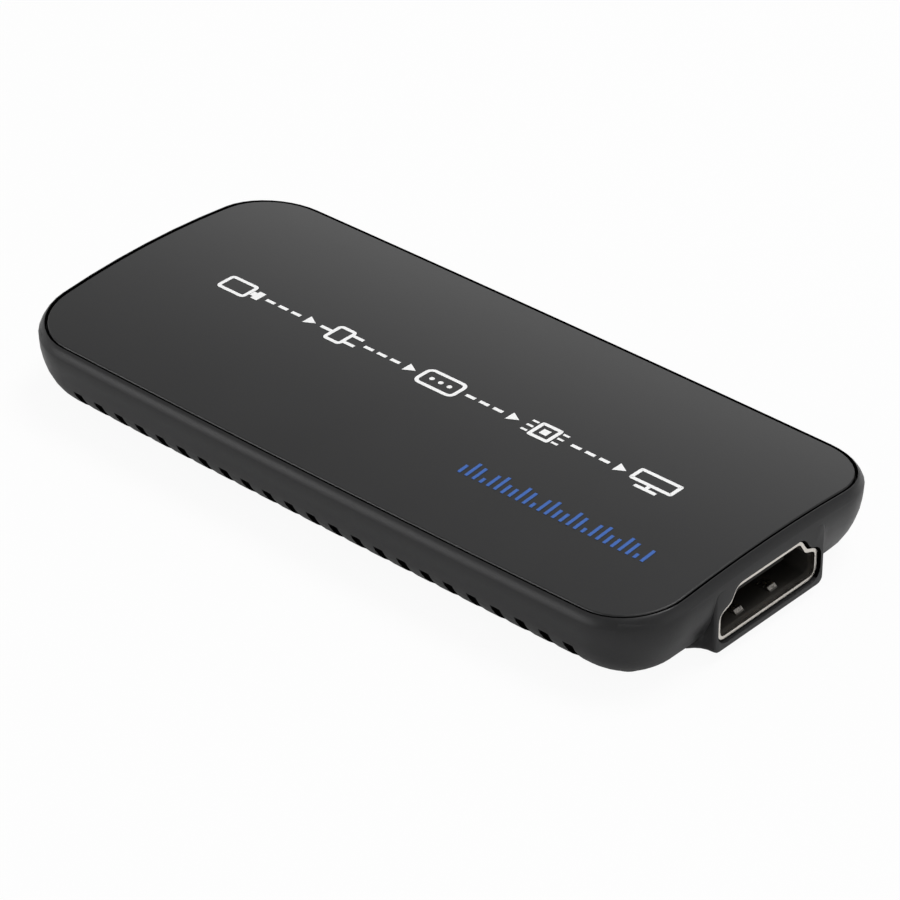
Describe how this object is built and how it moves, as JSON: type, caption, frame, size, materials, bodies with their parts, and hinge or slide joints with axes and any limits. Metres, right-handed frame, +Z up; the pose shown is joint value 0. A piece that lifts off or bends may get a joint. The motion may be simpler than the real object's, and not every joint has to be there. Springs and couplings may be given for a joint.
{
  "type": "video capture box",
  "caption": "Flat stick-shaped video capture box: vented boat-bellied lower case, crowned cover let into its rim, a video socket at one end and a data socket at the other.",
  "frame": {"origin": "middle of the flat underside, below the centre of the plan outline", "axes": "+X along the length towards the video socket, +Y across the width, +Z up through the crowned cover"},
  "size_m": [0.0826, 0.0384, 0.0096],
  "materials": {
    "case_plastic": "fine moulded grain, soft sheen",
    "cover_plastic": "satin charcoal",
    "board_laminate": "dark green solder mask",
    "screw_steel": "plated",
    "socket_metal": "nickel plated sheet",
    "black_insulator": "moulded black",
    "blue_insulator": "moulded blue",
    "contact_gold": "gold plated",
    "chip_epoxy": "moulded epoxy",
    "pad_silicone": "soft grey pad",
    "can_metal": "drawn can",
    "ferrite": "ferrite grey",
    "capacitor_moulding": "moulded ochre",
    "ceramic_body": "fired ceramic"
  },
  "bodies": {
    "root": {"lower_case": "case_plastic", "top_cover": "cover_plastic", "main_board": "board_laminate", "board_screws": "screw_steel", "video_socket_shell": "socket_metal", "video_socket_insulator": "black_insulator", "video_socket_contacts": "contact_gold", "data_socket_shell": "socket_metal", "data_socket_insulator": "blue_insulator", "data_socket_contacts": "contact_gold", "capture_chip": "chip_epoxy", "thermal_pad": "pad_silicone", "receiver_chip": "chip_epoxy", "memory_chip": "chip_epoxy", "flash_chip": "chip_epoxy", "crystals": "can_metal", "power_inductors": "ferrite", "regulators": "chip_epoxy", "bulk_capacitors": "capacitor_moulding", "ceramic_capacitors": "ceramic_body", "chip_resistors": "chip_epoxy", "line_filters": "ferrite", "surge_arrays": "chip_epoxy"}
  },
  "joints": []
}
